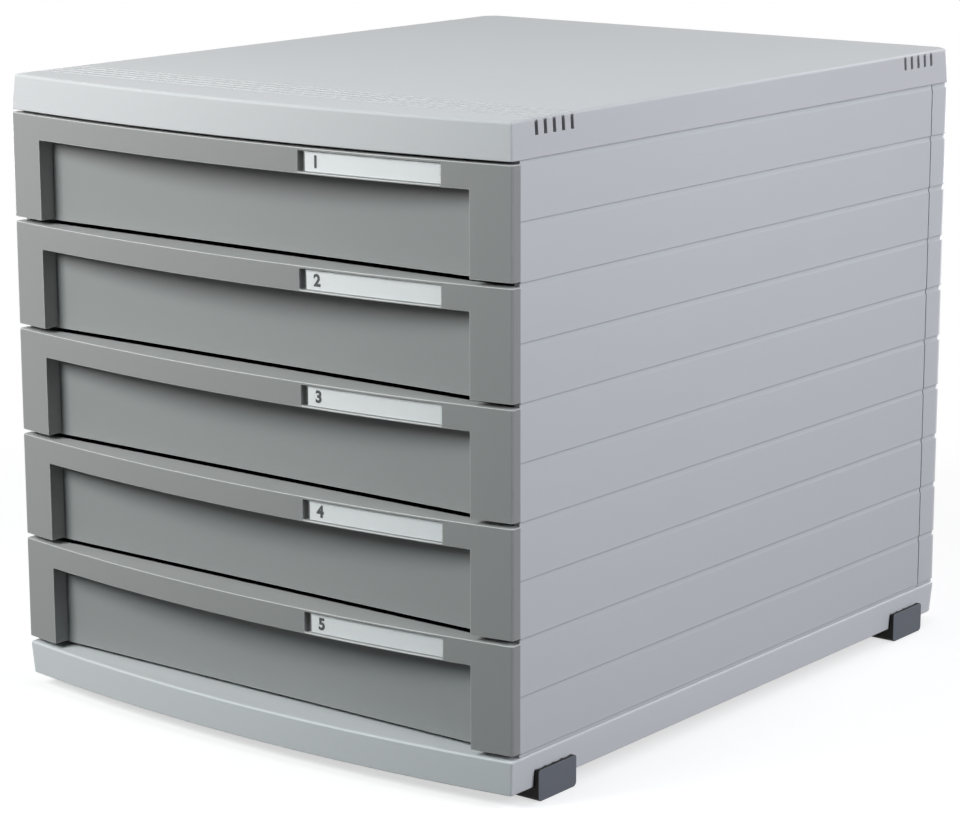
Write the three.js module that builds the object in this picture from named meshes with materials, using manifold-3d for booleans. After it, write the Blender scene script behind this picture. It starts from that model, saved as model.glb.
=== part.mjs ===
// A desktop file drawer: five drawers with bowed fronts in a banded case, on four clip-on feet.
// Sizes are in millimetres. +Z is up and the front faces -Y. The origin is on the table, under
// the middle of the case. Every piece is a closed solid of its own.

import * as THREE from 'three';
import { mergeVertices } from 'three/addons/utils/BufferGeometryUtils.js';
import Module from 'manifold-3d';

const wasm = await Module();
wasm.setup();

// Overall sizes of the case
const caseWidth = 290;
const caseDepth = 359; // from the front corners to the back
const frontBow = 11.5; // the middle of the front stands this far before its corners
const drawerCount = 5;

// Clearances and cuts
const fit = 0.3; // between two pieces that meet
const overrun = 1; // how far a cutting body reaches past what it cuts
const bite = 0.5; // how far a moulded-on detail is sunk into its wall

// Cover and base: two shallow trays, the cover upside down
const coverHeight = 16.3;
const baseHeight = 15.5;
const skirtThickness = 2.8;
const deckThickness = 2.5;
const skirtDraft = 1; // the skirts lean in by this much towards their far edges
const coverEdgeRadius = 1.5;
const baseEdgeRadius = 1;
const frontCornerRadius = 1;
const backCornerRadius = 8;

// Rows of slots near the corners, where feet clip in and where units stack
const slotCount = 5;
const slotPitch = 6.15;
const slotWidth = 2.1;
const coverSlotHeight = 7.2;
const coverSlotDrop = 0.8; // from the cover's top down to the slots' upper ends
const coverSlotSlope = 1.1; // fall of a slot's sloping floor for each mm of depth
const coverSlotFloor = 1.7; // depth at which that floor ends and the slot opens inwards
const baseSlotHeight = 7.6;
const slotReach = 4;
const frontSlotRow = 29.7; // middle of the row, behind the front corners
const backSlotRow = 34.2; // middle of the row, before the back
const grooveDepth = 0.6;

// Feet
const footHeight = 6.3;
const footLength = 27.2;
const footPad = 25; // how far a foot runs in under the base
const footPlate = 1.8;
const footPlateRise = 7.9; // how far the outer plate stands up beside the base
const footBottomRadius = 2;
const footTopRadius = 1.2;
const toothSlack = 0.25;
const toothDrop = 1.3; // from the plate's top edge down to the teeth

// Side walls and rear wall, moulded in level bands
const wallThickness = 3.2;
const wallSetback = 0.3; // the walls stand this far inside the skirts' rims
const wallFront = 6.2; // front edge, behind the front corners
const wallSill = 1.7; // from the base up to the lowest band and the lowest bay
const bandsPerDrawer = 2;
const bandGrooveDepth = 0.45;
const bandGrooveHeight = 2.85;
const bandLipHeight = 0.55; // the groove's lower side slopes out over this height
const rearWrap = 20; // how far the rear wall runs forward round each corner
const rearSlit = 0.8;
const tongueThickness = 1.1; // the side wall's tongue closes the slit from inside
const tongueReach = 6;
const rearCornerRadius = 8;

// Lugs that locate the walls in the cover and the base
const lugLength = 14;
const lugThickness = 2.4;
const lugHeight = 6;
const sideLugShares = [0.12, 0.5, 0.88]; // places along a side wall, as shares of its depth
const rearLugShares = [-0.55, 0.55]; // places across the rear wall, as shares of half its width

// Runners and stops
const runnerWidth = 6;
const runnerThickness = 2;
const runnerRise = 0.5; // above the bottom of the drawer's bay
const runnerStart = 3; // behind the drawer's front panel
const drawerHold = 74; // a drawer travels by the case's depth less this length
const stopHeight = 5.5;
const stopLength = 3;
const nibThickness = 2.8;
const stopDrop = 0.6; // from the tray's rim down to its ears

// Drawers: a tray and the bowed frame on its front
const frontRise = 0.8; // lower edge above the bottom of the bay
const frontHeight = 48.5;
const frontGap = 2.2; // between one front and the next
const frontOverhang = 0.4; // the fronts are this much wider than the case on each side
const frontSeat = 5.7; // plane where frame and tray meet, behind the front corners
const frontBackCornerRadius = 0.6;
const frontSideRadius = 2.2;
const frontSideCrease = (40 * Math.PI) / 180; // the rounding stops this far short of sideways
const uprightWidth = 20.4;
const railHeight = 11.3;
const railThickness = 6;
const railRoof = 2.2;
const panelThickness = 2.2;
const panelSideGap = 0.5;
const panelTopStep = 0.8; // the panel ends this far below the frame's top
const panelDrop = 0.6; // and this far below its lower edge
const trayWall = 2;
const trayFloor = 2;
const traySideGap = 3.5;
const trayRearGap = 3.7;
const trayShortfall = 7.3; // the trays are this much lower than their fronts
const snapWidth = 5;
const snapThickness = 2.4;
const snapInset = 5.5; // from the recess to the middle of the lugs
const snapHeightShares = [0.27, 0.73]; // places up the front, as shares of its height

// Label in the rail of each front
const labelInset = 13.5; // right end, from the recess's side
const labelWidth = 72.5;
const labelHeight = 9.1;
const labelLip = 0.9; // rail left below the label
const labelDepth = 2;
const cardThickness = 0.5;
const windowThickness = 0.6;
const notchWidth = 2.9; // notch at the label's left end, where a fingertip lifts it out
const notchDepth = 4.2;

// How finely round shapes are divided
const bowSteps = 20;
const cornerSteps = 4;
const edgeSteps = 3;
const labelSteps = 6;

// Places that follow from the sizes above
const halfWidth = caseWidth / 2;
const bowRadius = (halfWidth ** 2 + frontBow ** 2) / (2 * frontBow);
const cornerY = (frontBow - caseDepth) / 2; // the front corners
const backY = cornerY + caseDepth;
const bowCentreY = cornerY - frontBow + bowRadius;
const baseBottom = footHeight;
const baseTop = baseBottom + baseHeight;
const firstBay = baseTop + wallSill;
const drawerPitch = frontHeight + frontGap;
const coverBottom = firstBay + drawerCount * drawerPitch;
const coverTop = coverBottom + coverHeight;
const wallOuter = halfWidth - wallSetback;
const wallInner = wallOuter - wallThickness;
const rearOuter = backY - wallSetback;
const rearInner = rearOuter - wallThickness;
const flangeFront = rearOuter - rearWrap;
const wallFrontY = cornerY + wallFront;
const wallBackY = flangeFront - rearSlit;
const seatY = cornerY + frontSeat;
const panelBackY = seatY + panelThickness;
const trayHalf = wallInner - traySideGap;
const trayBackY = rearInner - trayRearGap;
const trayBottom = runnerRise + runnerThickness + fit;
const trayHeight = frontHeight - trayShortfall;
const trayTop = trayBottom + trayHeight;
const drawerTravel = caseDepth - drawerHold;
const frontTop = frontRise + frontHeight;
const railBottom = frontTop - railHeight;
const recessHalf = halfWidth + frontOverhang - uprightWidth;
const labelStart = recessHalf - labelInset - labelWidth; // left end, from the middle
const slotRows = [cornerY + frontSlotRow, backY - backSlotRow];

// Small tools for making solids

function arc(centreX, centreY, radius, from, to, steps) {
  return Array.from({ length: steps + 1 }, (_, step) => {
    const angle = from + ((to - from) * step) / steps;
    return new THREE.Vector2(centreX + radius * Math.cos(angle), centreY + radius * Math.sin(angle));
  });
}

function solid(geometry) {
  geometry.deleteAttribute('normal');
  geometry.deleteAttribute('uv');
  const merged = mergeVertices(geometry);
  return new wasm.Manifold(new wasm.Mesh({
    numProp: 3,
    vertProperties: new Float32Array(merged.attributes.position.array),
    triVerts: new Uint32Array(merged.index.array),
  }));
}

function block([x0, x1], [y0, y1], [z0, z1]) {
  const box = new THREE.BoxGeometry(Math.abs(x1 - x0), Math.abs(y1 - y0), Math.abs(z1 - z0));
  return solid(box.translate((x0 + x1) / 2, (y0 + y1) / 2, (z0 + z1) / 2));
}

// A plan outline raised from one height to another
function upright(points, [z0, z1]) {
  const shape = new THREE.Shape(points);
  const bar = new THREE.ExtrudeGeometry(shape, { depth: z1 - z0, bevelEnabled: false });
  return solid(bar.translate(0, 0, z0));
}

// An outline seen from the front, (x, z), run from one depth to another
function alongY(points, [y0, y1]) {
  const shape = new THREE.Shape(points);
  const bar = new THREE.ExtrudeGeometry(shape, { depth: y1 - y0, bevelEnabled: false });
  return solid(bar.rotateX(Math.PI / 2).translate(0, y1, 0));
}

// A closed skin over a stack of plan outlines with equal numbers of points, lowest first
function loft(rings) {
  const count = rings[0].outline.length;
  const positions = rings.flatMap(({ outline, z }) => outline.flatMap((point) => [point.x, point.y, z]));
  const top = (rings.length - 1) * count;
  const faces = [];
  for (let start = 0; start < top; start += count) {
    for (let i = 0; i < count; i++) {
      const here = start + i;
      const next = start + ((i + 1) % count);
      faces.push(here, next, next + count, here, next + count, here + count);
    }
  }
  for (const [a, b, c] of THREE.ShapeUtils.triangulateShape(rings[0].outline, [])) {
    faces.push(c, b, a, a + top, b + top, c + top);
  }
  const skin = new THREE.BufferGeometry();
  skin.setAttribute('position', new THREE.Float32BufferAttribute(positions, 3));
  skin.setIndex(faces);
  return solid(skin);
}

function join(solids) {
  return solids.reduce((whole, piece) => whole.add(piece));
}

function cut(body, cutters) {
  return cutters.reduce((rest, cutter) => rest.subtract(cutter), body);
}

function shapeOf(body) {
  const mesh = body.getMesh();
  const geometry = new THREE.BufferGeometry();
  geometry.setAttribute('position', new THREE.Float32BufferAttribute(mesh.vertProperties, 3));
  geometry.setIndex(Array.from(mesh.triVerts));
  geometry.computeVertexNormals();
  return geometry;
}

// Plan outline with straight sides and back and a front that bows outwards, from the middle of
// the front round to the right. inset moves the front and the sides in. The front corners are
// rounded, and crease is the angle that is left between the rounding and the side.
function bowedOutline({ half, back, frontRadius, backRadius, inset = 0, crease = 0 }) {
  const side = half - inset;
  const bow = bowRadius - inset;
  const cornerX = side - frontRadius * Math.cos(crease);
  const centreY = bowCentreY - Math.sqrt((bow - frontRadius) ** 2 - cornerX ** 2);
  const down = -Math.PI / 2;
  const meet = down + Math.atan2(cornerX, bowCentreY - centreY);
  const right = [
    ...arc(0, bowCentreY, bow, down, meet, bowSteps / 2),
    ...arc(cornerX, centreY, frontRadius, meet, -crease, cornerSteps).slice(1),
    ...arc(side - backRadius, back - backRadius, backRadius, 0, Math.PI / 2, cornerSteps),
  ];
  const left = right.slice(1).reverse().map((point) => new THREE.Vector2(-point.x, point.y));
  return [...right, ...left];
}

function caseRing(z, inset) {
  const outline = bowedOutline({
    half: halfWidth,
    back: backY - inset,
    frontRadius: frontCornerRadius,
    backRadius: backCornerRadius,
    inset,
  });
  return { z, outline };
}

// A strip that follows the bowed front between two depths behind its face
function bowedStrip([x0, x1], [outer, inner]) {
  const angleAt = (x, radius) => Math.asin(x / radius) - Math.PI / 2;
  const face = bowRadius - outer;
  const rear = bowRadius - inner;
  return [
    ...arc(0, bowCentreY, face, angleAt(x0, face), angleAt(x1, face), labelSteps),
    ...arc(0, bowCentreY, rear, angleAt(x1, rear), angleAt(x0, rear), labelSteps),
  ];
}

function slotPlaces(rowY) {
  return Array.from({ length: slotCount }, (_, i) => rowY + (i - (slotCount - 1) / 2) * slotPitch);
}

// Cutting bodies for every slot on both sides, from the slot's section on the right-hand side
function slotCutters(section) {
  return [-1, 1].flatMap((side) => {
    const points = section.map(([x, z]) => new THREE.Vector2(side * x, z));
    return slotRows.flatMap(slotPlaces).map((y) => alongY(points, [y - slotWidth / 2, y + slotWidth / 2]));
  });
}

// Places of the lugs: along each side wall, and across the rear wall
const wallRun = wallBackY - wallFrontY;
const sideLugPlaces = sideLugShares.map((share) => wallFrontY + share * wallRun);
const rearLugPlaces = rearLugShares.map((share) => share * halfWidth);

// The lugs' tails, made larger by a clearance when they cut their slots
function lugTails(z0, z1, clearance = 0) {
  const thick = [wallInner - lugThickness - clearance, wallInner - fit + clearance];
  const deep = [rearInner - lugThickness - clearance, rearInner - fit + clearance];
  const reach = lugLength / 2 + clearance;
  const sides = sideLugPlaces.flatMap((y) => [-1, 1].map((side) => block(
    thick.map((x) => side * x), [y - reach, y + reach], [z0, z1],
  )));
  const rear = rearLugPlaces.map((x) => block([x - reach, x + reach], deep, [z0, z1]));
  return [...sides, ...rear];
}

function makeCover() {
  const rings = [caseRing(coverBottom, 0)];
  const shoulder = coverTop - coverEdgeRadius;
  for (let step = 0; step <= edgeSteps; step++) {
    const angle = (step / edgeSteps) * (Math.PI / 2);
    const inset = skirtDraft + coverEdgeRadius * (1 - Math.cos(angle));
    rings.push(caseRing(shoulder + coverEdgeRadius * Math.sin(angle), inset));
  }
  const inside = loft([
    caseRing(coverBottom - overrun, skirtThickness),
    caseRing(coverTop - deckThickness, skirtThickness + skirtDraft),
  ]);
  const grooves = slotPlaces(slotRows[0]).map((y) => block(
    [-halfWidth, halfWidth],
    [y - slotWidth / 2, y + slotWidth / 2],
    [coverTop - grooveDepth, coverTop + overrun],
  ));
  const face = halfWidth - skirtDraft;
  const upperEnd = coverTop - coverSlotDrop;
  const outer = halfWidth + overrun;
  const slots = slotCutters([
    [halfWidth - slotReach, coverTop - coverSlotHeight],
    [outer, coverTop - coverSlotHeight],
    [outer, upperEnd + (outer - face) * coverSlotSlope],
    [face - coverSlotFloor, upperEnd - coverSlotFloor * coverSlotSlope],
    [halfWidth - slotReach, upperEnd - coverSlotFloor * coverSlotSlope],
  ]);
  return cut(loft(rings), [inside, ...grooves, ...slots]);
}

function makeBase() {
  const rings = [caseRing(baseBottom, skirtDraft)];
  const shoulder = baseTop - baseEdgeRadius;
  for (let step = 0; step <= edgeSteps; step++) {
    const angle = (step / edgeSteps) * (Math.PI / 2);
    const inset = baseEdgeRadius * (1 - Math.cos(angle));
    rings.push(caseRing(shoulder + baseEdgeRadius * Math.sin(angle), inset));
  }
  const inside = loft([
    caseRing(baseBottom - overrun, skirtThickness + skirtDraft),
    caseRing(baseTop - deckThickness, skirtThickness + skirtDraft),
  ]);
  const lugSlots = lugTails(baseTop - deckThickness - overrun, baseTop + overrun, fit);
  const footSlots = slotCutters([
    [halfWidth - slotReach, baseBottom - overrun],
    [halfWidth + overrun, baseBottom - overrun],
    [halfWidth + overrun, baseBottom + baseSlotHeight],
    [halfWidth - slotReach, baseBottom + baseSlotHeight],
  ]);
  return cut(loft(rings), [inside, ...lugSlots, ...footSlots]);
}

// Heights of the band joints, from the lowest band up to the cover
const bandCount = drawerCount * bandsPerDrawer;
const bandHeight = drawerPitch / bandsPerDrawer;
const bandTops = Array.from({ length: bandCount }, (_, i) => firstBay + (i + 1) * bandHeight);
const bandFloor = wallOuter - bandGrooveDepth; // how far out the grooves' floors stand

// One runner per drawer bay, as a step in the side wall's section
function runnerSteps() {
  return Array.from({ length: drawerCount }, (_, i) => {
    const low = firstBay + i * drawerPitch + runnerRise;
    return [low, low + runnerThickness];
  });
}

function sideWallSection(side) {
  const outside = bandTops.flatMap((top, i) => {
    const low = top - bandGrooveHeight;
    const groove = [[wallOuter, low], [bandFloor, low + bandLipHeight], [bandFloor, top]];
    return i + 1 < bandCount ? [...groove, [wallOuter, top]] : groove;
  });
  const points = [
    [bandFloor, baseTop], [bandFloor, firstBay], [wallOuter, firstBay],
    ...outside, [wallInner, coverBottom], [wallInner, baseTop],
  ];
  return points.map(([x, z]) => new THREE.Vector2(side * x, z));
}

// The nib that stops a drawer, placed so that the tray's ear reaches it at full travel
const earFrontY = trayBackY - stopLength;
const nibBackY = earFrontY - drawerTravel - fit;
const earTop = trayTop - stopDrop;

function makeSideWall(side) {
  const across = (x0, x1) => [side * x0, side * x1];
  const runners = runnerSteps().map((height) => block(
    across(wallInner - runnerWidth, wallInner + bite), [panelBackY + runnerStart, wallBackY], height,
  ));
  const nibs = runnerSteps().map(([low]) => {
    const bay = low - runnerRise;
    return block(
      across(wallInner - nibThickness, wallInner + bite),
      [nibBackY - stopLength, nibBackY],
      [bay + earTop - stopHeight, bay + earTop],
    );
  });
  const tongue = block(
    across(wallInner, wallInner + tongueThickness),
    [wallBackY - bite, wallBackY + tongueReach],
    [baseTop, coverBottom],
  );
  const lugs = sideLugPlaces.flatMap((y) => {
    const along = [y - lugLength / 2, y + lugLength / 2];
    const root = across(wallInner - lugThickness, wallInner + bite);
    const tail = across(wallInner - lugThickness, wallInner - fit);
    return [
      block(root, along, [baseTop, baseTop + lugHeight]),
      block(tail, along, [baseTop - lugHeight, baseTop + bite]),
      block(root, along, [coverBottom - lugHeight, coverBottom]),
      block(tail, along, [coverBottom - bite, coverBottom + lugHeight]),
    ];
  });
  const plate = alongY(sideWallSection(side), [wallFrontY, wallBackY]);
  return join([plate, ...runners, ...nibs, tongue, ...lugs]);
}

function rearRing(z, inset) {
  const side = wallOuter - inset;
  const back = rearOuter - inset;
  const right = [
    new THREE.Vector2(side, flangeFront),
    ...arc(side - rearCornerRadius, back - rearCornerRadius, rearCornerRadius, 0, Math.PI / 2, cornerSteps),
  ];
  const left = [...right].reverse().map((point) => new THREE.Vector2(-point.x, point.y));
  return { z, outline: [...right, ...left] };
}

function makeRearWall() {
  const rings = [
    rearRing(baseTop, bandGrooveDepth), rearRing(firstBay, bandGrooveDepth), rearRing(firstBay, 0),
  ];
  bandTops.forEach((top, i) => {
    const low = top - bandGrooveHeight;
    rings.push(rearRing(low, 0), rearRing(low + bandLipHeight, bandGrooveDepth));
    rings.push(rearRing(top, bandGrooveDepth));
    if (i + 1 < bandCount) rings.push(rearRing(top, 0));
  });
  const room = [baseTop - overrun, coverBottom + overrun];
  const inside = block([-wallInner, wallInner], [flangeFront - overrun, rearInner], room);
  const tongueHalf = wallInner + tongueThickness + fit;
  const tongueRoom = block(
    [-tongueHalf, tongueHalf], [flangeFront - overrun, wallBackY + tongueReach + fit], room,
  );
  const lugs = rearLugPlaces.flatMap((x) => {
    const across = [x - lugLength / 2, x + lugLength / 2];
    const root = [rearInner - lugThickness, rearInner + bite];
    const tail = [rearInner - lugThickness, rearInner - fit];
    return [
      block(across, root, [baseTop, baseTop + lugHeight]),
      block(across, tail, [baseTop - lugHeight, baseTop + bite]),
      block(across, root, [coverBottom - lugHeight, coverBottom]),
      block(across, tail, [coverBottom - bite, coverBottom + lugHeight]),
    ];
  });
  return join([cut(loft(rings), [inside, tongueRoom]), ...lugs]);
}

// A foot for the right-hand side, with its length centred on y = 0
function makeFoot() {
  const plateInner = halfWidth + fit;
  const plateOuter = plateInner + footPlate;
  const plateTop = baseBottom + footPlateRise;
  const reach = footLength / 2;
  const lowCorners = (radius) => [
    ...arc(reach - radius, radius, radius, 0, -Math.PI / 2, cornerSteps),
    ...arc(-reach + radius, radius, radius, -Math.PI / 2, -Math.PI, cornerSteps),
  ];
  const shoulder = reach - footTopRadius;
  const shoulderZ = plateTop - footTopRadius;
  const plateOutline = [
    ...lowCorners(footBottomRadius),
    ...arc(-shoulder, shoulderZ, footTopRadius, Math.PI, Math.PI / 2, cornerSteps),
    ...arc(shoulder, shoulderZ, footTopRadius, Math.PI / 2, 0, cornerSteps),
  ];
  const padOutline = [
    ...lowCorners(footBottomRadius),
    new THREE.Vector2(-reach, baseBottom),
    new THREE.Vector2(reach, baseBottom),
  ];
  const acrossX = (outline, [x0, x1]) => {
    const shape = new THREE.Shape(outline);
    const bar = new THREE.ExtrudeGeometry(shape, { depth: x1 - x0, bevelEnabled: false });
    return solid(bar.rotateX(Math.PI / 2).rotateZ(Math.PI / 2).translate(x0, 0, 0));
  };
  const toothHalf = slotWidth / 2 - toothSlack;
  const teeth = slotPlaces(0).map((y) => block(
    [halfWidth - slotReach + fit, plateInner + bite], [y - toothHalf, y + toothHalf],
    [baseBottom - bite, plateTop - toothDrop],
  ));
  return join([
    acrossX(plateOutline, [plateInner, plateOuter]),
    acrossX(padOutline, [plateOuter - footPlate - footPad, plateInner + bite]),
    ...teeth,
  ]);
}

// Snap lugs on the back of a front frame, and the slots they pass in the tray's panel
function snapLugs([y0, y1], clearance) {
  const halfAcross = snapThickness / 2 + clearance;
  const halfUp = snapWidth / 2 + clearance;
  return snapHeightShares.flatMap((share) => [-1, 1].map((side) => {
    const x = side * (recessHalf + snapInset);
    const z = frontRise + share * frontHeight;
    return block([x - halfAcross, x + halfAcross], [y0, y1], [z - halfUp, z + halfUp]);
  }));
}

// Every piece of a drawer has its height measured from the bottom of its bay

function makeFront() {
  const frontRing = (z) => {
    const outline = bowedOutline({
      half: halfWidth + frontOverhang,
      back: seatY,
      frontRadius: frontSideRadius,
      backRadius: frontBackCornerRadius,
      crease: frontSideCrease,
    });
    return { z, outline };
  };
  const recess = block(
    [-recessHalf, recessHalf],
    [cornerY - frontBow - overrun, seatY + overrun],
    [frontRise - overrun, railBottom],
  );
  const railInner = bowRadius - railThickness;
  const meet = Math.asin(recessHalf / railInner);
  const down = -Math.PI / 2;
  const grip = upright([
    ...arc(0, bowCentreY, railInner, down - meet, down + meet, bowSteps),
    new THREE.Vector2(recessHalf, seatY + overrun),
    new THREE.Vector2(-recessHalf, seatY + overrun),
  ], [railBottom - overrun, frontTop - railRoof]);
  const labelZ = [railBottom + labelLip, railBottom + labelLip + labelHeight];
  const labelStrip = bowedStrip([labelStart, labelStart + labelWidth], [-overrun, labelDepth]);
  const notchStrip = bowedStrip([labelStart, labelStart + notchWidth], [-overrun, notchDepth]);
  const frame = cut(loft([frontRing(frontRise), frontRing(frontTop)]), [
    recess, grip, upright(labelStrip, labelZ), upright(notchStrip, labelZ),
  ]);
  return join([frame, ...snapLugs([seatY - bite, panelBackY + fit], 0)]);
}

function makeTray() {
  const panelHalf = wallInner - panelSideGap;
  const panelUp = [frontRise - panelDrop, frontTop - panelTopStep];
  const panel = block([-panelHalf, panelHalf], [seatY, panelBackY], panelUp);
  const body = block([-trayHalf, trayHalf], [panelBackY - bite, trayBackY], [trayBottom, trayTop]);
  const inside = block(
    [-trayHalf + trayWall, trayHalf - trayWall],
    [panelBackY, trayBackY - trayWall],
    [trayBottom + trayFloor, trayTop + overrun],
  );
  const earOuter = wallInner - fit;
  const ears = [-1, 1].map((side) => block(
    [side * (trayHalf - bite), side * earOuter], [earFrontY, trayBackY], [earTop - stopHeight, earTop],
  ));
  const snapSlots = snapLugs([seatY - overrun, panelBackY + overrun], fit);
  return cut(join([panel, body, ...ears]), [inside, ...snapSlots]);
}

function makeLabelPiece(back, thickness) {
  const across = [labelStart + notchWidth, labelStart + labelWidth - fit];
  const low = railBottom + labelLip + fit;
  return upright(bowedStrip(across, [back - thickness, back]), [low, low + labelHeight - 2 * fit]);
}

// Finishes
const casePlastic = new THREE.MeshStandardMaterial({ color: 0xc9ccce, roughness: 0.5, metalness: 0 });
const wallPlastic = new THREE.MeshStandardMaterial({ color: 0xb9bec6, roughness: 0.5, metalness: 0 });
const frontPlastic = new THREE.MeshStandardMaterial({ color: 0x969997, roughness: 0.45, metalness: 0 });
const trayPlastic = new THREE.MeshStandardMaterial({ color: 0x9b9d9f, roughness: 0.5, metalness: 0 });
const footRubber = new THREE.MeshStandardMaterial({ color: 0x5a5d65, roughness: 0.7, metalness: 0 });
const labelPaper = new THREE.MeshStandardMaterial({ color: 0xe6e8ea, roughness: 0.8, metalness: 0 });
const clearPlastic = new THREE.MeshStandardMaterial({
  color: 0xf4f6f7, roughness: 0.1, metalness: 0, transparent: true, opacity: 0.35,
});

function part(name, geometry, material) {
  const mesh = new THREE.Mesh(geometry, material);
  mesh.name = name;
  return mesh;
}

const group = new THREE.Group();
group.add(part('top_cover', shapeOf(makeCover()), casePlastic));
group.add(part('base_tray', shapeOf(makeBase()), casePlastic));
group.add(part('left_side_wall', shapeOf(makeSideWall(-1)), wallPlastic));
group.add(part('right_side_wall', shapeOf(makeSideWall(1)), wallPlastic));
group.add(part('rear_wall', shapeOf(makeRearWall()), wallPlastic));

const footShape = shapeOf(makeFoot());
const [frontRow, rearRow] = slotRows;
const footPlaces = [
  { name: 'foot_front_right', y: frontRow, turn: 0 },
  { name: 'foot_rear_right', y: rearRow, turn: 0 },
  { name: 'foot_front_left', y: frontRow, turn: Math.PI },
  { name: 'foot_rear_left', y: rearRow, turn: Math.PI },
];
for (const { name, y, turn } of footPlaces) {
  const foot = part(name, footShape, footRubber);
  foot.position.y = y;
  foot.rotation.z = turn;
  group.add(foot);
}

const cardBack = labelDepth - fit;
const windowBack = cardBack - cardThickness - fit;
const card = makeLabelPiece(cardBack, cardThickness);
const clearStrip = makeLabelPiece(windowBack, windowThickness);
const drawerPieces = [
  { name: 'tray', shape: shapeOf(makeTray()), material: trayPlastic },
  { name: 'front', shape: shapeOf(makeFront()), material: frontPlastic },
  { name: 'label_card', shape: shapeOf(card), material: labelPaper },
  { name: 'label_window', shape: shapeOf(clearStrip), material: clearPlastic },
];
for (let number = 1; number <= drawerCount; number++) {
  const drawer = new THREE.Group();
  drawer.position.z = firstBay + (drawerCount - number) * drawerPitch;
  for (const { name, shape, material } of drawerPieces) {
    drawer.add(part(`drawer_${number}_${name}`, shape, material));
  }
  group.add(drawer);
}

export default group;
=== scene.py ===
"""Looks of a desktop file drawer: five bowed drawer fronts in a banded grey case on four clip-on feet."""

import math

import bpy
from mathutils import Matrix, Vector


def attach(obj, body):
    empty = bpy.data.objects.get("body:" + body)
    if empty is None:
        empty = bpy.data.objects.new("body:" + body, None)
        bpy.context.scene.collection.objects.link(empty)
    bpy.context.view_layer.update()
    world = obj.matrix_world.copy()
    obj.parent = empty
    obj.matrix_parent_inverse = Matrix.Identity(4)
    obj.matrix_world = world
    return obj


MM = 0.001

# Shape of the drawer fronts and their label cards, as in the frame
BOW_RADIUS = 919.9 * MM
BOW_CENTRE_Y = 734.65 * MM
DRAWER_COUNT = 5
FIRST_BAY = 23.5 * MM
BAY_PITCH = 50.7 * MM
CARD_DEPTH = 1.2 * MM
CARD_LEFT = 41.9 * MM
CARD_LOW = 39.2 * MM
CARD_HEIGHT = 8.5 * MM

# Numerals printed on the cards
NUMERAL_HEIGHT = 5.2 * MM
NUMERAL_THICKNESS = 0.06 * MM
NUMERAL_INSET = 4 * MM  # from the card's left end
NUMERAL_BOLDNESS = 0.3 * MM
FONT_SIZE_PER_HEIGHT = 1.38
INK_LIFT = 0.02 * MM

# Radii of the edges that the frame leaves sharp
FRONT_EDGE = 0.4 * MM
TRAY_EDGE = 0.18 * MM
FOOT_EDGE = 0.2 * MM
CARD_EDGE = 0.1 * MM
WINDOW_EDGE = 0.15 * MM
WELD_REACH = 0.00001
FLAT_ANGLE = math.radians(0.3)  # faces that meet at less than this are one plane
ROUNDED_ANGLE = math.radians(32)  # edges over this are rounded
CREASE_ANGLE = math.radians(50)  # edges over this stay sharp in the shading

# Camera, on the photograph's line of sight
CAMERA_PLACE = (0.89522, -1.1535, 0.45186)
CAMERA_AIM = (-0.02454, 0.02154, 0.11667)
CAMERA_ROLL = math.radians(-0.127)
CAMERA_LENS = 115.35
SENSOR_WIDTH = 36

# Lamps: place, side, colour and watts. Each one points at the middle of the case.
CASE_MIDDLE = (0, 0, 0.15)
LAMPS = {
    "key": ((-0.363, -0.815, 0.645), 0.43, (1, 0.94, 0.93), 7.1),
    "far_key": ((-0.57, -1.755, 1.348), 0.9, (0.6, 1, 1), 10.2),
    "right_high": ((0.979, 0.086, 0.838), 0.7, (0.94, 0.96, 1), 5.2),
    "right_low": ((1.182, 0, 0.358), 0.7, (0.9, 0.92, 1), 4.6),
    "above": ((0.15, 0.2, 1.5), 0.8, (1, 0.98, 0.98), 1.4),
    "back_fill": ((0.25, 1.5, 1.1), 0.9, (1, 0.98, 0.98), 9),
    "back_low": ((0, 1.55, 0.13), 0.28, (0.97, 0.98, 1), 7),
    "left_low": ((-1.5, 0.3, 0.13), 0.28, (0.97, 0.98, 1), 7),
}
ROOM_COLOUR = (0.95, 0.98, 1, 1)
ROOM_STRENGTH = 0.02
FLOOR_BOUNCE = (0.06, 0.06, 0.063, 1)

# Colours, in linear light
COVER_GREY = (0.592, 0.597, 0.612, 1)
BASE_GREY = (0.695, 0.711, 0.726, 1)
WALL_GREY = (0.605, 0.622, 0.638, 1)
FRONT_GREY = (0.315, 0.317, 0.314, 1)
PANEL_GREY = (0.310, 0.318, 0.317, 1)
FOOT_GREY = (0.142, 0.154, 0.176, 1)
# near black painted on the feet's ends: painted shade
FOOT_END_SHADE = (0.011, 0.010, 0.009, 1)
TEXTURED_SHEEN = 0.22  # the eroded texture scatters most of the shine
PAPER_WHITE = (0.880, 0.885, 0.895, 1)
INK = (0.008, 0.009, 0.012, 1)
PALEST = 0.9

# Painted highlights along the edges
HIGHLIGHT_WIDTH = 0.0006
HIGHLIGHT_BREAKS = 60  # per metre
HIGHLIGHT_GAIN = 13  # how quickly a turning surface counts as an edge
LEVEL_EDGE_BAND = (0.12, 0.4, 0.88, 0.98)  # steepness of the roundings along level edges
OPEN_REACH = 0.0015  # how near other faces may be to an outer edge
OPEN_LEAST = 0.6
OPEN_GAIN = 4
HIGHLIGHT_SWING = 0.8
HIGHLIGHT_LEAST = 0.55

# Painted shade in inner corners and painted light on upward faces
CORNER_REACH = 0.006
CORNER_PATCHES = 120  # per metre
CORNER_SHARE = 0.35
CORNER_SHADE = 0.72
TOP_LIGHT_PATCHES = 45  # per metre
TOP_LIGHT_SWING = 0.5
TOP_LIGHT_LEAST = 0.7
UPWARD = (0.5, 0.95)  # the painted light sets in at the first steepness and is full at the second

# Texture of plastic and paper
PLASTIC_GRAIN = 1800  # per metre
PLASTIC_RELIEF = 0.0002
GLOSS_SWING = 0.06
PAPER_GRAIN = 3500
PAPER_RELIEF = 0.0001

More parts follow.
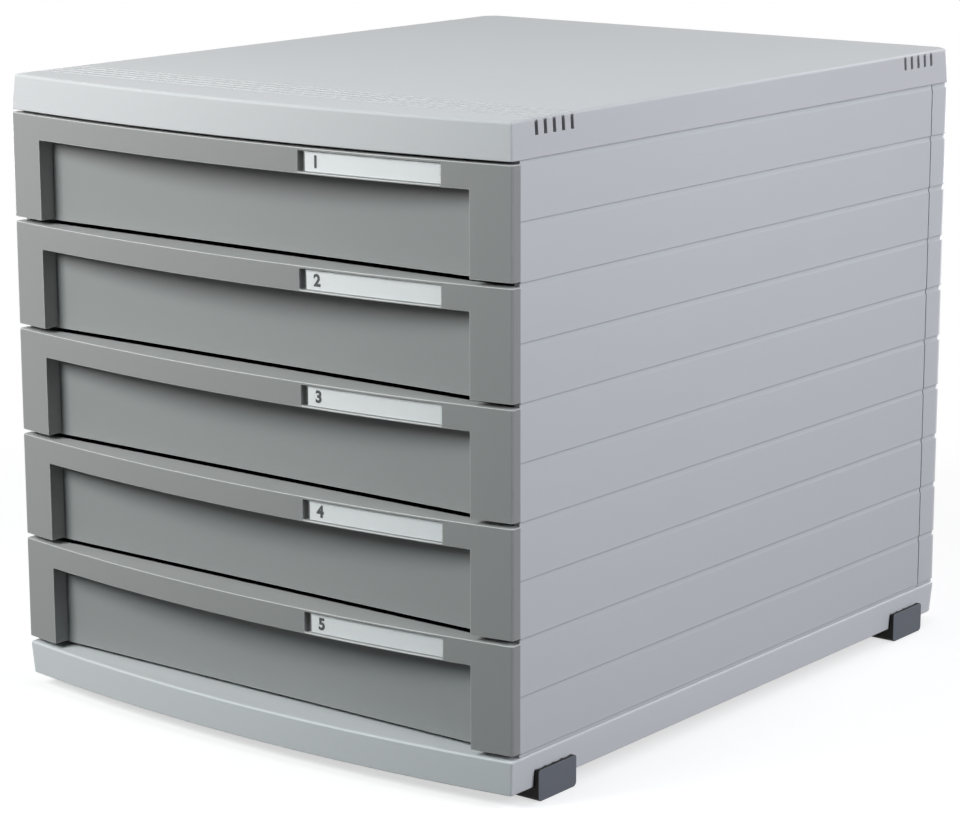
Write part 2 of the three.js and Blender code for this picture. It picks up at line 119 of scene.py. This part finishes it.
# Floor
FLOOR_HALF = 9
FLOOR_DROP = 0.1 * MM
SHADOW_NEAR = 0.22  # the shadow starts to fade here, and is gone at SHADOW_FAR
SHADOW_FAR = 0.62
FLOOR_GREY = (0.5, 0.5, 0.5, 1)
FLOOR_GLOW = 0.62


# Node helpers

def add(tree, kind, place=(0, 0), **settings):
    node = tree.nodes.new(kind)
    node.location = place
    for name, value in settings.items():
        setattr(node, name, value)
    return node


def new_group(name, inputs, outputs):
    """A shader node group with named float or colour sockets: (name, kind, default)."""
    tree = bpy.data.node_groups.new(name, "ShaderNodeTree")
    for label, kind, default in inputs:
        socket = tree.interface.new_socket(label, in_out="INPUT", socket_type=kind)
        socket.default_value = default
    for label, kind in outputs:
        tree.interface.new_socket(label, in_out="OUTPUT", socket_type=kind)
    source = add(tree, "NodeGroupInput", (-900, 0))
    sink = add(tree, "NodeGroupOutput", (900, 0))
    return tree, source, sink


def math_node(tree, operation, first, second, place=(0, 0), clamp=False):
    node = add(tree, "ShaderNodeMath", place, operation=operation, use_clamp=clamp)
    for slot, value in enumerate((first, second)):
        if isinstance(value, (int, float)):
            node.inputs[slot].default_value = value
        else:
            tree.links.new(value, node.inputs[slot])
    return node.outputs[0]


def mix_colour(tree, factor, first, second, place=(0, 0), blend="MIX"):
    node = add(tree, "ShaderNodeMix", place, data_type="RGBA", blend_type=blend)
    for slot, value in ((0, factor), (6, first), (7, second)):
        if hasattr(value, "is_output"):
            tree.links.new(value, node.inputs[slot])
        else:
            node.inputs[slot].default_value = value
    return node.outputs[2]


def noise(tree, vector, scale, detail, place=(0, 0), roughness=0.5):
    node = add(tree, "ShaderNodeTexNoise", place)
    tree.links.new(vector, node.inputs["Vector"])
    if hasattr(scale, "is_output"):
        tree.links.new(scale, node.inputs["Scale"])
    else:
        node.inputs["Scale"].default_value = scale
    node.inputs["Detail"].default_value = detail
    node.inputs["Roughness"].default_value = roughness
    return node.outputs["Fac"]


def upness(tree, normal, place=(0, 0)):
    """How far a face points up or down: nought for an upright face, one for a level face."""
    parts = add(tree, "ShaderNodeSeparateXYZ", place)
    tree.links.new(normal, parts.inputs[0])
    return math_node(tree, "ABSOLUTE", parts.outputs["Z"], 0, place)


def ramp(tree, value, start, end, place=(0, 0)):
    """A soft step from nought at start to one at end."""
    step = add(tree, "ShaderNodeMapRange", place, interpolation_type="SMOOTHSTEP")
    step.inputs["From Min"].default_value = min(start, end)
    step.inputs["From Max"].default_value = max(start, end)
    if start > end:
        step.inputs["To Min"].default_value = 1
        step.inputs["To Max"].default_value = 0
    tree.links.new(value, step.inputs["Value"])
    return step.outputs["Result"]


def band(tree, value, ends, place=(0, 0)):
    """One between the two middle ends, and a soft fall to nought at the outer ends."""
    low = ramp(tree, value, ends[0], ends[1], place)
    high = ramp(tree, value, ends[3], ends[2], place)
    return math_node(tree, "MULTIPLY", low, high, place)


# Effects that several finishes share

def moulded_grain():
    """Fine eroded texture of a moulding tool: a height and a small change of gloss."""
    tree, source, sink = new_group(
        "moulded_grain",
        [("Grain per metre", "NodeSocketFloat", PLASTIC_GRAIN),
         ("Gloss swing", "NodeSocketFloat", GLOSS_SWING)],
        [("Height", "NodeSocketFloat"), ("Gloss change", "NodeSocketFloat")],
    )
    place = add(tree, "ShaderNodeTexCoord", (-900, -300)).outputs["Object"]
    fine = noise(tree, place, source.outputs[0], 3, (-500, 200), 0.6)
    coarse_scale = math_node(tree, "MULTIPLY", source.outputs[0], 0.28, (-700, -50))
    coarse = noise(tree, place, coarse_scale, 2, (-500, -50))
    blend = math_node(tree, "MULTIPLY", coarse, 0.5, (-250, -50))
    height = math_node(tree, "ADD", fine, blend, (0, 150))
    patches = noise(tree, place, 14, 3, (-500, -350))
    centred = math_node(tree, "SUBTRACT", patches, 0.5, (-250, -350))
    swing = math_node(tree, "MULTIPLY", centred, source.outputs[1], (0, -350))
    tree.links.new(height, sink.inputs[0])
    tree.links.new(swing, sink.inputs[1])
    return tree


def tone_drift():
    """Slow drift of a moulded colour, with the faint clouds that the melt leaves."""
    tree, source, sink = new_group(
        "tone_drift",
        [("Colour", "NodeSocketColor", (0.5, 0.5, 0.5, 1)), ("Drift", "NodeSocketFloat", 0.05),
         ("Clouds per metre", "NodeSocketFloat", 9)],
        [("Colour", "NodeSocketColor")],
    )
    place = add(tree, "ShaderNodeTexCoord", (-900, -300)).outputs["Object"]
    clouds = noise(tree, place, source.outputs[2], 4, (-600, -150), 0.55)
    specks = noise(tree, place, 900, 2, (-600, -400))
    even = math_node(tree, "SUBTRACT", clouds, 0.5, (-350, -150))
    speck = math_node(tree, "SUBTRACT", specks, 0.5, (-350, -400))
    faint = math_node(tree, "MULTIPLY", speck, 0.4, (-150, -400))
    both = math_node(tree, "ADD", even, faint, (0, -200))
    scaled = math_node(tree, "MULTIPLY", both, source.outputs[1], (200, -200))
    lift = math_node(tree, "ADD", scaled, 1, (400, -200))
    grey = add(tree, "ShaderNodeCombineColor", (550, -200))
    for channel in range(3):
        tree.links.new(lift, grey.inputs[channel])
    result = mix_colour(tree, 1.0, source.outputs[0], grey.outputs[0], (700, 0), "MULTIPLY")
    tree.links.new(result, sink.inputs[0])
    return tree


def worn_edges():
    """Softly rounded edges, and a mask of the outer ones, where painted highlights make them lighter."""
    tree, source, sink = new_group(
        "worn_edges",
        [("Edge width", "NodeSocketFloat", HIGHLIGHT_WIDTH),
         ("Breaks per metre", "NodeSocketFloat", HIGHLIGHT_BREAKS)],
        [("Mask", "NodeSocketFloat"), ("Normal", "NodeSocketVector")],
    )
    place = add(tree, "ShaderNodeTexCoord", (-900, -300)).outputs["Object"]
    rounded = add(tree, "ShaderNodeBevel", (-600, 200), samples=6)
    tree.links.new(source.outputs[0], rounded.inputs["Radius"])
    facing = add(tree, "ShaderNodeNewGeometry", (-600, 0)).outputs["Normal"]
    meet = add(tree, "ShaderNodeVectorMath", (-350, 100), operation="DOT_PRODUCT")
    tree.links.new(rounded.outputs[0], meet.inputs[0])
    tree.links.new(facing, meet.inputs[1])
    turn = math_node(tree, "SUBTRACT", 1, meet.outputs["Value"], (-150, 100))
    sharp = math_node(tree, "MULTIPLY", turn, HIGHLIGHT_GAIN, (50, 100), clamp=True)
    steep = band(tree, upness(tree, facing, (-350, 300)), LEVEL_EDGE_BAND, (-150, 300))
    turned = math_node(tree, "MAXIMUM", sharp, steep, (200, 200))
    around = add(tree, "ShaderNodeAmbientOcclusion", (-600, -100), samples=4, only_local=True)
    around.inputs["Distance"].default_value = OPEN_REACH
    open_air = math_node(tree, "SUBTRACT", around.outputs["AO"], OPEN_LEAST, (-350, -100))
    outer = math_node(tree, "MULTIPLY", open_air, OPEN_GAIN, (-150, -100), clamp=True)
    breaks = noise(tree, place, source.outputs[1], 4, (-350, -300), 0.65)
    patchy = math_node(tree, "MULTIPLY", breaks, HIGHLIGHT_SWING, (-150, -300))
    steady = math_node(tree, "ADD", patchy, HIGHLIGHT_LEAST, (50, -300), clamp=True)
    # where the painted edge highlights go
    convex = math_node(tree, "MULTIPLY", turned, outer, (300, 50))
    kept = math_node(tree, "MULTIPLY", convex, steady, (500, 0), clamp=True)
    tree.links.new(kept, sink.inputs[0])
    tree.links.new(rounded.outputs[0], sink.inputs[1])
    return tree


def settled_dust():
    """Mask of inner corners, darkened in patches: painted shade."""
    tree, source, sink = new_group(
        "settled_dust",
        [("Reach", "NodeSocketFloat", CORNER_REACH)],
        [("Mask", "NodeSocketFloat")],
    )
    place = add(tree, "ShaderNodeTexCoord", (-900, -300)).outputs["Object"]
    corner = add(tree, "ShaderNodeAmbientOcclusion", (-500, 200), samples=4, only_local=True)
    tree.links.new(source.outputs[0], corner.inputs["Distance"])
    depth = math_node(tree, "SUBTRACT", 1, corner.outputs["AO"], (-250, 200))
    patches = noise(tree, place, CORNER_PATCHES, 3, (-500, -100))
    kept = math_node(tree, "MULTIPLY", depth, patches, (50, 100), clamp=True)
    tree.links.new(kept, sink.inputs[0])
    return tree


def fallen_dust():
    """Mask of upward faces, lighter in uneven patches: painted light from above."""
    tree, source, sink = new_group(
        "fallen_dust",
        [("Patches per metre", "NodeSocketFloat", TOP_LIGHT_PATCHES)],
        [("Mask", "NodeSocketFloat")],
    )
    place = add(tree, "ShaderNodeTexCoord", (-900, -300)).outputs["Object"]
    facing = add(tree, "ShaderNodeNewGeometry", (-700, 200)).outputs["Normal"]
    parts = add(tree, "ShaderNodeSeparateXYZ", (-500, 200))
    tree.links.new(facing, parts.inputs[0])
    up = ramp(tree, parts.outputs["Z"], *UPWARD, (-300, 200))
    patches = noise(tree, place, source.outputs[0], 4, (-500, -150), 0.6)
    uneven = math_node(tree, "MULTIPLY", patches, TOP_LIGHT_SWING, (-300, -150))
    layer = math_node(tree, "ADD", uneven, TOP_LIGHT_LEAST, (-100, -150), clamp=True)
    kept = math_node(tree, "MULTIPLY", up, layer, (150, 50), clamp=True)
    tree.links.new(kept, sink.inputs[0])
    return tree


def place_group(tree, group, place, **values):
    node = add(tree, "ShaderNodeGroup", place, node_tree=group)
    for name, value in values.items():
        node.inputs[name.replace("_", " ")].default_value = value
    return node


# Finishes

def lighter(colour, gain):
    """The colour made lighter, or darker where gain is under one."""
    return tuple(min(PALEST, channel * gain) for channel in colour[:3]) + (1,)


def moulded_plastic(name, colour, roughness, effects, edge_lighter, top_lighter=1, grain=PLASTIC_GRAIN,
                    bump=0.05, drift=0.05, soft_edges=True):
    """Injection-moulded plastic with a satin texture, drifting tone, painted highlights along its edges,
    painted light on its upward faces and painted shade in its inner corners.

    edge_lighter and top_lighter say how much lighter the painted edge highlights and the painted
    light on the upward faces are. soft_edges rounds edges in the shading alone, on a piece whose
    shape keeps them sharp."""
    material = bpy.data.materials.new(name)
    material.use_nodes = True
    tree = material.node_tree
    shader = tree.nodes["Principled BSDF"]
    tone = place_group(tree, effects["tone"], (-900, 300), Colour=colour, Drift=drift)
    edges = place_group(tree, effects["edges"], (-900, 0))
    corner_shading = place_group(tree, effects["corner_shading"], (-900, -200))
    skin = place_group(tree, effects["grain"], (-900, -450), Grain_per_metre=grain)
    lit_tops = place_group(tree, effects["lit_tops"], (-900, 500))
    # upward faces painted lighter in patches: painted light from above
    top_lit = mix_colour(tree, lit_tops.outputs[0], tone.outputs[0], lighter(colour, top_lighter), (-650, 350))
    # edges painted lighter: painted highlights
    edge_lit = mix_colour(tree, edges.outputs[0], top_lit, lighter(colour, edge_lighter), (-450, 250))
    # inner corners painted darker: painted shade
    corner_shading_share = math_node(tree, "MULTIPLY", corner_shading.outputs[0], CORNER_SHARE, (-650, -200))
    shaded = mix_colour(tree, corner_shading_share, edge_lit, lighter(colour, CORNER_SHADE), (-250, 200))
    tree.links.new(shaded, shader.inputs["Base Color"])
    gloss = math_node(tree, "ADD", skin.outputs[1], roughness, (-450, -300), clamp=True)
    tree.links.new(gloss, shader.inputs["Roughness"])
    relief = add(tree, "ShaderNodeBump", (-450, -500))
    relief.inputs["Strength"].default_value = bump
    relief.inputs["Distance"].default_value = PLASTIC_RELIEF
    tree.links.new(skin.outputs[0], relief.inputs["Height"])
    if soft_edges:
        tree.links.new(edges.outputs["Normal"], relief.inputs["Normal"])
    tree.links.new(relief.outputs[0], shader.inputs["Normal"])
    shader.inputs["IOR"].default_value = 1.5
    shader.inputs["Specular IOR Level"].default_value = TEXTURED_SHEEN
    return material


def foot_rubber(effects):
    """Dark rubber: grey on its outer plates, with its ends painted near black as painted shade."""
    material = moulded_plastic(
        "foot_rubber", FOOT_GREY, 0.55, effects, edge_lighter=1.3, grain=1200, bump=0.09, drift=0.12)
    tree = material.node_tree
    shader = tree.nodes["Principled BSDF"]
    grey = shader.inputs["Base Color"].links[0].from_socket
    # ends that face front and back are painted near black: painted shade; the sideways plates stay grey
    facing = add(tree, "ShaderNodeNewGeometry", (-900, 700)).outputs["Normal"]
    parts = add(tree, "ShaderNodeSeparateXYZ", (-700, 700))
    tree.links.new(facing, parts.inputs[0])
    sideways = math_node(tree, "ABSOLUTE", parts.outputs["X"], 0, (-500, 700))
    unshaded_sides = ramp(tree, sideways, 0.35, 0.9, (-300, 700))
    colour = mix_colour(tree, unshaded_sides, FOOT_END_SHADE, grey, (-50, 450))
    tree.links.new(colour, shader.inputs["Base Color"])
    return material


def label_paper(effects):
    """Uncoated card: nearly white, with faint fibres."""
    material = bpy.data.materials.new("label_paper")
    material.use_nodes = True
    tree = material.node_tree
    shader = tree.nodes["Principled BSDF"]
    tone = place_group(tree, effects["tone"], (-700, 200), Colour=PAPER_WHITE, Drift=0.06)
    tone.inputs["Clouds per metre"].default_value = 160
    skin = place_group(tree, effects["grain"], (-700, -200), Grain_per_metre=PAPER_GRAIN)
    tree.links.new(tone.outputs[0], shader.inputs["Base Color"])
    gloss = math_node(tree, "ADD", skin.outputs[1], 0.75, (-400, -100), clamp=True)
    tree.links.new(gloss, shader.inputs["Roughness"])
    relief = add(tree, "ShaderNodeBump", (-400, -300))
    relief.inputs["Strength"].default_value = 0.1
    relief.inputs["Distance"].default_value = PAPER_RELIEF
    tree.links.new(skin.outputs[0], relief.inputs["Height"])
    tree.links.new(relief.outputs[0], shader.inputs["Normal"])
    return material


def printed_ink(effects):
    material = bpy.data.materials.new("printed_ink")
    material.use_nodes = True
    tree = material.node_tree
    shader = tree.nodes["Principled BSDF"]
    tone = place_group(tree, effects["tone"], (-700, 200), Colour=INK, Drift=0.5)
    tone.inputs["Clouds per metre"].default_value = 700
    tree.links.new(tone.outputs[0], shader.inputs["Base Color"])
    shader.inputs["Roughness"].default_value = 0.6
    return material


def clear_plastic(effects):
    """Thin clear window: nearly invisible on its face, with its rims whiter and less clear as painted
    highlights.
    """
    material = bpy.data.materials.new("clear_plastic")
    material.use_nodes = True
    tree = material.node_tree
    shader = tree.nodes["Principled BSDF"]
    shader.inputs["Base Color"].default_value = (0.86, 0.88, 0.9, 1)
    skin = place_group(tree, effects["grain"], (-800, -300), Grain_per_metre=500, Gloss_swing=0.1)
    gloss = math_node(tree, "ADD", skin.outputs[1], 0.16, (-500, -200), clamp=True)
    tree.links.new(gloss, shader.inputs["Roughness"])
    edges = place_group(tree, effects["edges"], (-800, 100), Edge_width=0.0005)
    # rims painted whiter and less clear: painted highlights
    rim_highlight = math_node(tree, "MULTIPLY", edges.outputs[0], 0.5, (-550, 100))
    cover = math_node(tree, "ADD", rim_highlight, 0.04, (-350, 100), clamp=True)
    tree.links.new(cover, shader.inputs["Alpha"])
    shader.inputs["IOR"].default_value = 1.49
    return material


# Finer shapes over the frame's own solids

def smooth_sides():
    """Geometry nodes that shade a mesh smooth and keep every edge over CREASE_ANGLE sharp."""
    tree = bpy.data.node_groups.new("smooth_sides", "GeometryNodeTree")
    tree.interface.new_socket("Geometry", in_out="INPUT", socket_type="NodeSocketGeometry")
    tree.interface.new_socket("Geometry", in_out="OUTPUT", socket_type="NodeSocketGeometry")
    source = add(tree, "NodeGroupInput", (-600, 0))
    sink = add(tree, "NodeGroupOutput", (600, 0))
    clean = add(tree, "GeometryNodeRemoveAttribute", (-400, 0))
    clean.inputs["Name"].default_value = "custom_normal"
    faces = add(tree, "GeometryNodeSetShadeSmooth", (-200, 0), domain="FACE")
    edges = add(tree, "GeometryNodeSetShadeSmooth", (0, 0), domain="EDGE")
    angle = add(tree, "GeometryNodeInputMeshEdgeAngle", (-400, -300))
    flat = add(tree, "FunctionNodeCompare", (-200, -300), data_type="FLOAT", operation="LESS_THAN")
    flat.inputs[1].default_value = CREASE_ANGLE
    tree.links.new(angle.outputs["Unsigned Angle"], flat.inputs[0])
    tree.links.new(source.outputs[0], clean.inputs["Geometry"])
    tree.links.new(clean.outputs[0], faces.inputs["Geometry"])
    tree.links.new(faces.outputs[0], edges.inputs["Geometry"])
    tree.links.new(flat.outputs[0], edges.inputs["Shade Smooth"])
    tree.links.new(edges.outputs[0], sink.inputs[0])
    return tree


def smooth_faces(obj, shading, radius=0):
    """Joins a frame solid's faces and shades them smooth, with its sharp edges rounded by radius."""
    weld = obj.modifiers.new("weld", "WELD")
    weld.merge_threshold = WELD_REACH
    if radius:
        planes = obj.modifiers.new("planes", "DECIMATE")
        planes.decimate_type = "DISSOLVE"
        planes.angle_limit = FLAT_ANGLE
        parts = obj.modifiers.new("parts", "TRIANGULATE")
        parts.ngon_method = "BEAUTY"
        bevel = obj.modifiers.new("edges", "BEVEL")
        bevel.width = radius
        bevel.segments = 2
        bevel.limit_method = "ANGLE"
        bevel.angle_limit = ROUNDED_ANGLE
        bevel.use_clamp_overlap = False
        bevel.loop_slide = False
        bevel.miter_outer = "MITER_ARC"
    smooth = obj.modifiers.new("smooth", "NODES")
    smooth.node_group = shading
    weighted = obj.modifiers.new("weighted", "WEIGHTED_NORMAL")
    weighted.keep_sharp = True


def dress(obj, material):
    obj.data.materials.clear()
    obj.data.materials.append(material)


# Label numerals

def on_bow(x, depth):
    """Y of the point x across the front and that deep behind its bowed face."""
    radius = BOW_RADIUS - depth
    return BOW_CENTRE_Y - math.sqrt(radius ** 2 - x ** 2)


def numeral(number, ink):
    """A printed numeral that lies on the curved label card of its drawer."""
    text = bpy.data.curves.new(f"numeral_{number}", "FONT")
    text.body = str(number)
    text.size = NUMERAL_HEIGHT * FONT_SIZE_PER_HEIGHT
    text.extrude = NUMERAL_THICKNESS / 2
    text.offset = NUMERAL_BOLDNESS
    text.resolution_u = 6
    holder = bpy.data.objects.new(f"numeral_{number}_text", text)
    bpy.context.scene.collection.objects.link(holder)
    bpy.context.view_layer.update()
    solid = holder.evaluated_get(bpy.context.evaluated_depsgraph_get())
    mesh = bpy.data.meshes.new_from_object(solid)
    bpy.data.objects.remove(holder)
    bay = FIRST_BAY + (DRAWER_COUNT - number) * BAY_PITCH
    low = min(vertex.co.y for vertex in mesh.vertices)
    left = CARD_LEFT + NUMERAL_INSET
    base = bay + CARD_LOW + (CARD_HEIGHT - NUMERAL_HEIGHT) / 2
    depth = CARD_DEPTH - NUMERAL_THICKNESS / 2 - INK_LIFT
    for vertex in mesh.vertices:
        across, up, out = vertex.co
        x = left + across
        vertex.co = (x, on_bow(x, depth) - out, base + up - low)
    mesh.materials.clear()
    mesh.materials.append(ink)
    piece = bpy.data.objects.new(f"label_numeral_{number}", mesh)
    bpy.context.scene.collection.objects.link(piece)
    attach(piece, f"drawer_{number}")
    return piece


# Studio

def make_camera():
    camera = bpy.data.cameras.new("camera")
    camera.lens = CAMERA_LENS
    camera.sensor_width = SENSOR_WIDTH
    obj = bpy.data.objects.new("camera", camera)
    bpy.context.scene.collection.objects.link(obj)
    line = Vector(CAMERA_AIM) - Vector(CAMERA_PLACE)
    turn = line.to_track_quat("-Z", "Y").to_matrix() @ Matrix.Rotation(CAMERA_ROLL, 3, "Z")
    obj.location = CAMERA_PLACE
    obj.rotation_euler = turn.to_euler()
    bpy.context.scene.camera = obj


def make_lamps():
    for name, (place, side, colour, watts) in LAMPS.items():
        lamp = bpy.data.lights.new(name, "AREA")
        lamp.shape = "SQUARE"
        lamp.size = side
        lamp.color = colour
        lamp.energy = watts
        obj = bpy.data.objects.new(name, lamp)
        obj.location = place
        line = Vector(CASE_MIDDLE) - Vector(place)
        obj.rotation_euler = line.to_track_quat("-Z", "Y").to_euler()
        bpy.context.scene.collection.objects.link(obj)


def white_ray(tree, place):
    """One where the camera looks at it straight, in a gloss or through glass; else zero."""
    path = add(tree, "ShaderNodeLightPath", place)
    seen = math_node(tree, "MAXIMUM", path.outputs["Is Camera Ray"], path.outputs["Is Glossy Ray"])
    return math_node(tree, "MAXIMUM", seen, path.outputs["Is Transmission Ray"])


def make_room():
    world = bpy.data.worlds.new("room")
    bpy.context.scene.world = world
    world.use_nodes = True
    tree = world.node_tree
    tree.nodes.clear()
    soft = add(tree, "ShaderNodeBackground", (-300, 0))
    soft.inputs[0].default_value = ROOM_COLOUR
    soft.inputs[1].default_value = ROOM_STRENGTH
    white = add(tree, "ShaderNodeBackground", (-300, -200))
    white.inputs[0].default_value = (1, 1, 1, 1)
    choose = add(tree, "ShaderNodeMixShader", (0, 0))
    out = add(tree, "ShaderNodeOutputWorld", (200, 0))
    tree.links.new(white_ray(tree, (-800, 200)), choose.inputs[0])
    tree.links.new(soft.outputs[0], choose.inputs[1])
    tree.links.new(white.outputs[0], choose.inputs[2])
    tree.links.new(choose.outputs[0], out.inputs[0])


def floor_finish():
    """White floor that keeps the case's shadow near it and fades to plain white further out."""
    material = bpy.data.materials.new("white_floor")
    material.use_nodes = True
    tree = material.node_tree
    tree.nodes.clear()
    place = add(tree, "ShaderNodeTexCoord", (-1000, 0)).outputs["Object"]
    length = add(tree, "ShaderNodeVectorMath", (-800, 0), operation="LENGTH")
    tree.links.new(place, length.inputs[0])
    far = add(tree, "ShaderNodeMapRange", (-600, 0), interpolation_type="SMOOTHSTEP")
    far.inputs["From Min"].default_value = SHADOW_NEAR
    far.inputs["From Max"].default_value = SHADOW_FAR
    tree.links.new(length.outputs["Value"], far.inputs["Value"])
    lit = add(tree, "ShaderNodeBsdfDiffuse", (-400, 100))
    lit.inputs[0].default_value = FLOOR_GREY
    glow = add(tree, "ShaderNodeEmission", (-400, -50))
    glow.inputs[1].default_value = FLOOR_GLOW
    both = add(tree, "ShaderNodeAddShader", (-200, 50))
    tree.links.new(lit.outputs[0], both.inputs[0])
    tree.links.new(glow.outputs[0], both.inputs[1])
    white = add(tree, "ShaderNodeEmission", (-200, -200))
    spread = add(tree, "ShaderNodeMixShader", (0, 0))
    tree.links.new(far.outputs[0], spread.inputs[0])
    tree.links.new(both.outputs[0], spread.inputs[1])
    tree.links.new(white.outputs[0], spread.inputs[2])
    plain = add(tree, "ShaderNodeBsdfDiffuse", (0, -250))
    plain.inputs[0].default_value = FLOOR_BOUNCE
    choose = add(tree, "ShaderNodeMixShader", (250, 0))
    out = add(tree, "ShaderNodeOutputMaterial", (450, 0))
    tree.links.new(white_ray(tree, (-1000, 300)), choose.inputs[0])
    tree.links.new(plain.outputs[0], choose.inputs[1])
    tree.links.new(spread.outputs[0], choose.inputs[2])
    tree.links.new(choose.outputs[0], out.inputs[0])
    return material


def make_floor():
    half = FLOOR_HALF
    mesh = bpy.data.meshes.new("floor")
    corners = [(-half, -half, 0), (half, -half, 0), (half, half, 0), (-half, half, 0)]
    mesh.from_pydata(corners, [], [(0, 1, 2, 3)])
    mesh.materials.append(floor_finish())
    floor = bpy.data.objects.new("floor", mesh)
    floor.location.z = -FLOOR_DROP
    bpy.context.scene.collection.objects.link(floor)


def plain(numbers):
    return [[float(value) for value in corner] for corner in numbers]


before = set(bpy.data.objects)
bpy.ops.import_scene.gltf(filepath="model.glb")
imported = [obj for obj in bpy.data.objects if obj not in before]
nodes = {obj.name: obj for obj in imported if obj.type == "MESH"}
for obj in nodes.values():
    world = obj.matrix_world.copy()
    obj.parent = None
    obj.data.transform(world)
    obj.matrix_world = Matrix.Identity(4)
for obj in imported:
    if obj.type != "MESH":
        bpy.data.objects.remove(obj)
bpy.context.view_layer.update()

effects = {
    "grain": moulded_grain(), "tone": tone_drift(), "edges": worn_edges(), "corner_shading": settled_dust(),
    "lit_tops": fallen_dust(),
}
cover_finish = moulded_plastic("cover_plastic", COVER_GREY, 0.5, effects, edge_lighter=1.03)
base_finish = moulded_plastic("base_plastic", BASE_GREY, 0.5, effects, edge_lighter=1.03)
wall_finish = moulded_plastic("wall_plastic", WALL_GREY, 0.52, effects, edge_lighter=1.08)
# fronts: strong painted edge highlights, and painted light on their upward faces
front_finish = moulded_plastic(
    "front_plastic", FRONT_GREY, 0.42, effects, edge_lighter=2.0, top_lighter=1.4, soft_edges=False)
tray_finish = moulded_plastic(
    "tray_plastic", PANEL_GREY, 0.45, effects, edge_lighter=1.7, soft_edges=False)
rubber = foot_rubber(effects)
paper = label_paper(effects)
ink = printed_ink(effects)
clear = clear_plastic(effects)
shading = smooth_sides()

for name, finish in (("top_cover", cover_finish), ("base_tray", base_finish)):
    dress(nodes[name], finish)
    smooth_faces(nodes[name], shading)
for name in ("left_side_wall", "right_side_wall", "rear_wall"):
    dress(nodes[name], wall_finish)
    smooth_faces(nodes[name], shading)
for name in ("foot_front_left", "foot_front_right", "foot_rear_left", "foot_rear_right"):
    dress(nodes[name], rubber)
    smooth_faces(nodes[name], shading, FOOT_EDGE)
for number in range(1, DRAWER_COUNT + 1):
    drawer = f"drawer_{number}"
    dress(nodes[f"{drawer}_front"], front_finish)
    smooth_faces(nodes[f"{drawer}_front"], shading, FRONT_EDGE)
    dress(nodes[f"{drawer}_tray"], tray_finish)
    smooth_faces(nodes[f"{drawer}_tray"], shading, TRAY_EDGE)
    dress(nodes[f"{drawer}_label_card"], paper)
    smooth_faces(nodes[f"{drawer}_label_card"], shading, CARD_EDGE)
    dress(nodes[f"{drawer}_label_window"], clear)
    smooth_faces(nodes[f"{drawer}_label_window"], shading, WINDOW_EDGE)
    numeral(number, ink)

make_camera()
make_lamps()
make_room()
make_floor()
scene = bpy.context.scene
scene.view_settings.view_transform = "Standard"
